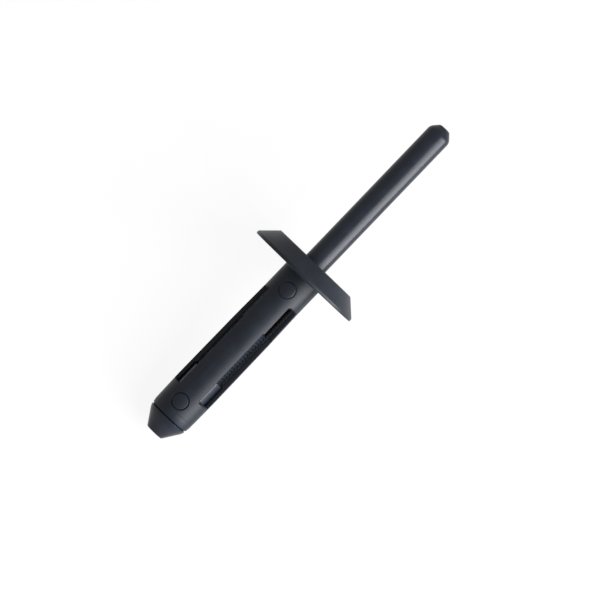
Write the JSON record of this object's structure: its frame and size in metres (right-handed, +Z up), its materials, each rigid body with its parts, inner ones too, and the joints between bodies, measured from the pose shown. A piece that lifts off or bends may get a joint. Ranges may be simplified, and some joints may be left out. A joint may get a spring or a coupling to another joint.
{
  "type": "plastic rivet",
  "caption": "Black plastic pull rivet lying on its side: a slotted sleeve with a wide bevelled flange, and a mandrel whose stem is pulled to bow the legs out behind a panel.",
  "frame": {"origin": "middle of the lying rivet's box, on the surface that it lies on", "axes": "+Z up from that surface; +X along the rivet seen from above, towards the pull stem; the rivet's own axis rises 12.24 degrees from +X, because it lies on its flange rim and its nose"},
  "size_m": [0.0576, 0.0178, 0.0176],
  "materials": {
    "sleeve_plastic": "black nylon, satin as moulded",
    "mandrel_plastic": "black nylon, smoother and glossier on the pull stem"
  },
  "bodies": {
    "root": {"sleeve": "sleeve_plastic", "mandrel": "mandrel_plastic"}
  },
  "joints": []
}
